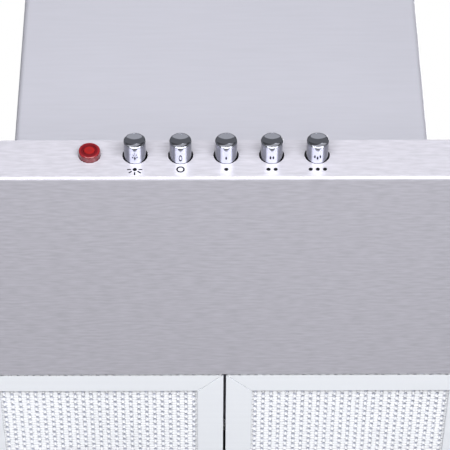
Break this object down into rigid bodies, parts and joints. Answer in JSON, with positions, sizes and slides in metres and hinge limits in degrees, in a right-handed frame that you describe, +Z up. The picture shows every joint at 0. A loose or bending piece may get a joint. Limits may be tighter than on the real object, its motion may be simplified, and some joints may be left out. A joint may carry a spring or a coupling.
{
  "type": "under cabinet range hood",
  "caption": "Wall range hood: slim folded steel canopy with push buttons, hinged mesh grease filters, centrifugal blower and telescopic duct cover.",
  "frame": {"origin": "middle of the canopy's bottom edge on the wall plane", "axes": "+X to the right seen from the front, +Y into the wall, +Z up"},
  "size_m": [0.6, 0.5118, 0.46],
  "materials": {
    "stainless": "brushed",
    "galvanised": "galvanised, dull",
    "button_chrome": "polished",
    "spring_steel": "bright wire",
    "pilot_red": "clear red",
    "black_plastic": "moulded, satin",
    "grey_plastic": "moulded, satin",
    "filter_aluminium": "satin",
    "mesh_aluminium": "bright",
    "bezel_metal": "satin",
    "lamp_glass": "frosted",
    "lamp_white": "moulded",
    "motor_paint": "satin",
    "shaft_steel": "ground",
    "screw_steel": "zinc plated"
  },
  "bodies": {
    "canopy": {"canopy_shell": "stainless", "canopy_top_panel": "stainless", "duct_cover_lower": "stainless", "blower_housing": "galvanised", "wall_bracket": "galvanised", "switch_bracket": "galvanised", "motor_bracket": "galvanised", "button_spring_light": "spring_steel", "button_spring_off": "spring_steel", "button_spring_low": "spring_steel", "button_spring_medium": "spring_steel", "button_spring_high": "spring_steel", "pilot_lens": "pilot_red", "pilot_lamp": "lamp_white", "switch_block": "black_plastic", "control_box": "black_plastic", "control_box_lid": "black_plastic", "cable_gland": "black_plastic", "scroll_left": "black_plastic", "scroll_right": "black_plastic", "outlet_collar": "grey_plastic", "capacitor": "grey_plastic", "terminal_block": "lamp_white", "lamp_bezel_left": "bezel_metal", "lamp_glass_left": "lamp_glass", "lamp_housing_left": "grey_plastic", "lamp_board_left": "lamp_white", "lamp_bezel_right": "bezel_metal", "lamp_glass_right": "lamp_glass", "lamp_housing_right": "grey_plastic", "lamp_board_right": "lamp_white", "motor_body": "motor_paint", "flap_pin": "shaft_steel", "blower_screws": "screw_steel", "cover_screws": "screw_steel", "switch_screws": "screw_steel", "scroll_screw": "screw_steel"},
    "button_light": {"button_light": "button_chrome"},
    "button_off": {"button_off": "button_chrome"},
    "button_low": {"button_low": "button_chrome"},
    "button_medium": {"button_medium": "button_chrome"},
    "button_high": {"button_high": "button_chrome"},
    "impeller": {"impeller": "black_plastic", "motor_shaft": "shaft_steel"},
    "flap_front": {"flap_front": "grey_plastic"},
    "flap_rear": {"flap_rear": "grey_plastic"},
    "filter_left": {"filter_frame_left": "filter_aluminium", "filter_mesh_left": "mesh_aluminium", "latch_cup_left": "grey_plastic", "latch_spring_left": "spring_steel"},
    "latch_left": {"filter_latch_left": "grey_plastic"},
    "filter_right": {"filter_frame_right": "filter_aluminium", "filter_mesh_right": "mesh_aluminium", "latch_cup_right": "grey_plastic", "latch_spring_right": "spring_steel"},
    "latch_right": {"filter_latch_right": "grey_plastic"},
    "upper_cover": {"duct_cover_upper": "stainless", "chimney_bracket": "galvanised", "bracket_screws": "screw_steel"}
  },
  "joints": [
    {"name": "press_light", "type": "slide", "parent": "canopy", "child": "button_light", "axis": [0, 1, 0], "range_m": [0, 0.004], "stiffness_N_per_m": 300, "springref_m": -0.003, "deforming": ["button_spring_light"]},
    {"name": "press_off", "type": "slide", "parent": "canopy", "child": "button_off", "axis": [0, 1, 0], "range_m": [0, 0.004], "stiffness_N_per_m": 300, "springref_m": -0.003, "deforming": ["button_spring_off"]},
    {"name": "press_low", "type": "slide", "parent": "canopy", "child": "button_low", "axis": [0, 1, 0], "range_m": [0, 0.004], "stiffness_N_per_m": 300, "springref_m": -0.003, "deforming": ["button_spring_low"]},
    {"name": "press_medium", "type": "slide", "parent": "canopy", "child": "button_medium", "axis": [0, 1, 0], "range_m": [0, 0.004], "stiffness_N_per_m": 300, "springref_m": -0.003, "deforming": ["button_spring_medium"]},
    {"name": "press_high", "type": "slide", "parent": "canopy", "child": "button_high", "axis": [0, 1, 0], "range_m": [0, 0.004], "stiffness_N_per_m": 300, "springref_m": -0.003, "deforming": ["button_spring_high"]},
    {"name": "impeller_spin", "type": "hinge", "parent": "canopy", "child": "impeller", "pos_m": [0, -0.119, 0.144], "axis": [1, 0, 0], "continuous": true},
    {"name": "flap_front_swing", "type": "hinge", "parent": "canopy", "child": "flap_front", "pos_m": [0, -0.1925, 0.2908], "axis": [-1, 0, 0], "range_deg": [0, 75]},
    {"name": "flap_rear_swing", "type": "hinge", "parent": "canopy", "child": "flap_rear", "pos_m": [0, -0.1925, 0.2908], "axis": [1, 0, 0], "range_deg": [0, 75]},
    {"name": "filter_left_drop", "type": "hinge", "parent": "canopy", "child": "filter_left", "pos_m": [-0.0731, -0.3353, 0], "axis": [-1, 0, 0], "range_deg": [0, 75]},
    {"name": "latch_left_pull", "type": "slide", "parent": "filter_left", "child": "latch_left", "axis": [0, -1, 0], "range_m": [0, 0.0075], "stiffness_N_per_m": 150, "springref_m": -0.01, "deforming": ["latch_spring_left"]},
    {"name": "filter_right_drop", "type": "hinge", "parent": "canopy", "child": "filter_right", "pos_m": [0.0731, -0.3353, 0], "axis": [-1, 0, 0], "range_deg": [0, 75]},
    {"name": "latch_right_pull", "type": "slide", "parent": "filter_right", "child": "latch_right", "axis": [0, -1, 0], "range_m": [0, 0.0075], "stiffness_N_per_m": 150, "springref_m": -0.01, "deforming": ["latch_spring_right"]},
    {"name": "upper_cover_lift", "type": "slide", "parent": "canopy", "child": "upper_cover", "axis": [0, 0, 1], "range_m": [0, 0.3]}
  ]
}
